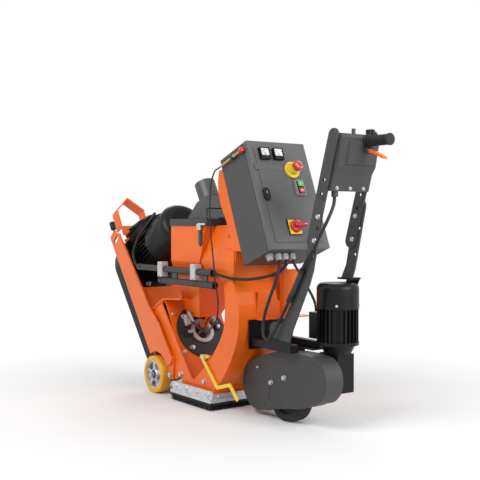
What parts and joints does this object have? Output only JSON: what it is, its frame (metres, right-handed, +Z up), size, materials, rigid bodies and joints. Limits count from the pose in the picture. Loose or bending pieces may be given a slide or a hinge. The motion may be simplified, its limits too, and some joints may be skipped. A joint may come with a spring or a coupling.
{
  "type": "concrete shot blasting machine",
  "caption": "Walk-behind shot blaster for concrete floors: inclined wheel head with belt drive, shot hopper, brush seal, casters, control cabinet and motorised drive wheel.",
  "frame": {"origin": "on the floor under the middle of the whole machine's box", "axes": "+X back towards the operator, -X the travel direction, -Y the machine's left side, +Z up"},
  "size_m": [1.811, 0.368, 1.083],
  "materials": {
    "amber_tyre": "amber polyurethane tyre on a cast alloy hub",
    "black_paint": "gloss black paint on cast aluminium",
    "black_plastic": "moulded black plastic",
    "black_rubber": "matt black rubber",
    "bristle": "black nylon bristle",
    "cabinet_paint": "fine-textured dark grey powder coat",
    "cable_black": "smooth black cable sheath",
    "cast_light": "as-cast light alloy",
    "conduit_black": "smooth dark grey conduit",
    "dark_paint": "satin dark grey powder coat",
    "door_paint": "fine-textured mid grey powder coat",
    "galvanised": "dull galvanised sheet",
    "green_plastic": "gloss green plastic",
    "orange_paint": "semi-gloss orange powder coat",
    "rail_aluminium": "mill-finish extruded aluminium",
    "red_plastic": "gloss red plastic",
    "tyre_black": "solid black rubber tyre",
    "yellow_paint": "gloss yellow paint",
    "zinc_steel": "bright zinc-plated steel"
  },
  "bodies": {
    "machine": {"base_ring": "orange_paint", "seal_rails": "rail_aluminium", "brush_left": "bristle", "brush_right": "bristle", "brush_front": "bristle", "brush_rear": "bristle", "side_plates": "orange_paint", "wheel_chamber": "orange_paint", "rebound_duct": "orange_paint", "motor_stand": "orange_paint", "bolts": "zinc_steel", "cage_plate": "dark_paint", "bearing_housing": "dark_paint", "drive_belts": "black_rubber", "motor_plate": "dark_paint", "belt_guard": "dark_paint", "lift_bail": "orange_paint", "motor_body": "black_paint", "motor_cowl": "black_paint", "terminal_box": "black_paint", "hopper": "orange_paint", "separator": "orange_paint", "cables": "cable_black", "conduits": "conduit_black", "conduit_clamps": "cast_light", "cabinet_body": "cabinet_paint", "cabinet_brackets": "orange_paint", "handle_arms": "dark_paint", "handle_box": "dark_paint", "handle_grip": "black_rubber", "drive_cover": "dark_paint", "gear_motor": "black_paint", "drive_frame": "black_paint", "rear_bracket": "orange_paint", "drive_chain": "zinc_steel"},
    "control_cage": {"control_cage": "cast_light"},
    "blast_rotor": {"blast_wheel": "zinc_steel", "wheel_shaft": "zinc_steel"},
    "motor_rotor": {"motor_rotor": "zinc_steel"},
    "hopper_lid": {"hopper_lid": "dark_paint", "dust_outlet": "galvanised"},
    "lid_latch": {"lid_latch": "zinc_steel"},
    "shot_valve": {"shot_valve": "zinc_steel"},
    "valve_knob": {"valve_knob": "red_plastic"},
    "cabinet_door": {"cabinet_door": "door_paint", "door_fittings": "black_plastic"},
    "stop_button": {"stop_button": "red_plastic"},
    "start_button": {"start_button": "green_plastic"},
    "off_button": {"off_button": "red_plastic"},
    "main_switch": {"main_switch": "red_plastic"},
    "door_lock": {"door_lock": "black_plastic"},
    "speed_knob": {"speed_knob": "black_plastic"},
    "drive_lever": {"drive_lever": "orange_paint"},
    "drive_wheel": {"drive_wheel": "tyre_black"},
    "drive_sprocket": {"drive_sprocket": "zinc_steel"},
    "depth_lever": {"depth_lever": "yellow_paint"},
    "caster_left": {"caster_left": "amber_tyre"},
    "caster_right": {"caster_right": "amber_tyre"},
    "lift_lever": {"lift_lever": "orange_paint"},
    "index_plunger": {"index_plunger": "black_plastic"}
  },
  "joints": [
    {"name": "cage_turn", "type": "hinge", "parent": "machine", "child": "control_cage", "pos_m": [-0.21147, 0, 0.273], "axis": [0.866, 0, 0.5], "range_deg": [-30, 30]},
    {"name": "blast_spin", "type": "hinge", "parent": "machine", "child": "blast_rotor", "pos_m": [-0.29807, 0, 0.223], "axis": [0.866, 0, 0.5], "continuous": true},
    {"name": "motor_spin", "type": "hinge", "parent": "machine", "child": "motor_rotor", "pos_m": [-0.53557, 0, 0.63436], "axis": [0.866, 0, 0.5], "continuous": true},
    {"name": "lid_swing", "type": "hinge", "parent": "machine", "child": "hopper_lid", "pos_m": [-0.03147, 0.148, 0.743], "axis": [-1, 0, 0], "range_deg": [0, 75]},
    {"name": "latch_swing", "type": "hinge", "parent": "machine", "child": "lid_latch", "pos_m": [0.00053, -0.151, 0.733], "axis": [0, 1, 0], "range_deg": [-60, 0]},
    {"name": "valve_turn", "type": "hinge", "parent": "machine", "child": "shot_valve", "pos_m": [-0.19347, 0, 0.362], "axis": [0, 1, 0], "range_deg": [0, 35]},
    {"name": "valve_pull", "type": "slide", "parent": "machine", "child": "valve_knob", "axis": [0.9272, 0, 0.3746], "range_m": [0, 0.03]},
    {"name": "door_swing", "type": "hinge", "parent": "machine", "child": "cabinet_door", "pos_m": [0.378, 0.146, 0.87663], "axis": [0.3681, 0, -0.9298], "range_deg": [-40, 0]},
    {"name": "stop_push", "type": "slide", "parent": "cabinet_door", "child": "stop_button", "axis": [-0.9298, 0, -0.3681], "range_m": [0, 0.005], "stiffness_N_per_m": 400},
    {"name": "start_push", "type": "slide", "parent": "cabinet_door", "child": "start_button", "axis": [-0.9298, 0, -0.3681], "range_m": [0, 0.003], "stiffness_N_per_m": 300},
    {"name": "off_push", "type": "slide", "parent": "cabinet_door", "child": "off_button", "axis": [-0.9298, 0, -0.3681], "range_m": [0, 0.003], "stiffness_N_per_m": 300},
    {"name": "switch_turn", "type": "hinge", "parent": "cabinet_door", "child": "main_switch", "pos_m": [0.44659, -0.013, 0.736], "axis": [0.9298, 0, 0.3681], "range_deg": [-90, 0]},
    {"name": "lock_turn", "type": "hinge", "parent": "cabinet_door", "child": "door_lock", "pos_m": [0.39726, -0.107, 0.86059], "axis": [0.9298, 0, 0.3681], "range_deg": [0, 90]},
    {"name": "speed_turn", "type": "hinge", "parent": "machine", "child": "speed_knob", "pos_m": [0.77753, 0.06, 1.07], "axis": [0, 0, 1], "range_deg": [-135, 135]},
    {"name": "lever_squeeze", "type": "hinge", "parent": "machine", "child": "drive_lever", "pos_m": [0.80453, 0.0295, 1.004], "axis": [0, 1, 0], "range_deg": [-12, 0], "stiffness_Nm_per_rad": 2, "springref_deg": 8.59},
    {"name": "wheel_spin", "type": "hinge", "parent": "machine", "child": "drive_wheel", "pos_m": [0.42253, 0, 0.103], "axis": [0, 1, 0], "continuous": true},
    {"name": "sprocket_spin", "type": "hinge", "parent": "machine", "child": "drive_sprocket", "pos_m": [0.59153, 0, 0.182], "axis": [0, 1, 0], "continuous": true},
    {"name": "depth_swing", "type": "hinge", "parent": "machine", "child": "depth_lever", "pos_m": [0.03853, -0.147, 0.205], "axis": [0, 1, 0], "range_deg": [-15, 0]},
    {"name": "carriage_swing", "type": "hinge", "parent": "machine", "child": "lift_lever", "pos_m": [-0.22347, 0, 0.096], "axis": [0, 1, 0], "range_deg": [-10, 0]},
    {"name": "caster_left_spin", "type": "hinge", "parent": "lift_lever", "child": "caster_left", "pos_m": [-0.34147, -0.146, 0.082], "axis": [0, 1, 0], "continuous": true},
    {"name": "caster_right_spin", "type": "hinge", "parent": "lift_lever", "child": "caster_right", "pos_m": [-0.34147, 0.146, 0.082], "axis": [0, 1, 0], "continuous": true},
    {"name": "plunger_pull", "type": "slide", "parent": "lift_lever", "child": "index_plunger", "axis": [-0.5, 0, 0.866], "range_m": [0, 0.01], "stiffness_N_per_m": 500}
  ],
  "couplings": [
    {"joint": "motor_spin", "follows": "blast_spin", "ratio": 0.8},
    {"joint": "sprocket_spin", "follows": "wheel_spin", "ratio": 1.4118},
    {"joint": "valve_turn", "follows": "valve_pull", "rad_per_m": 20.362}
  ]
}
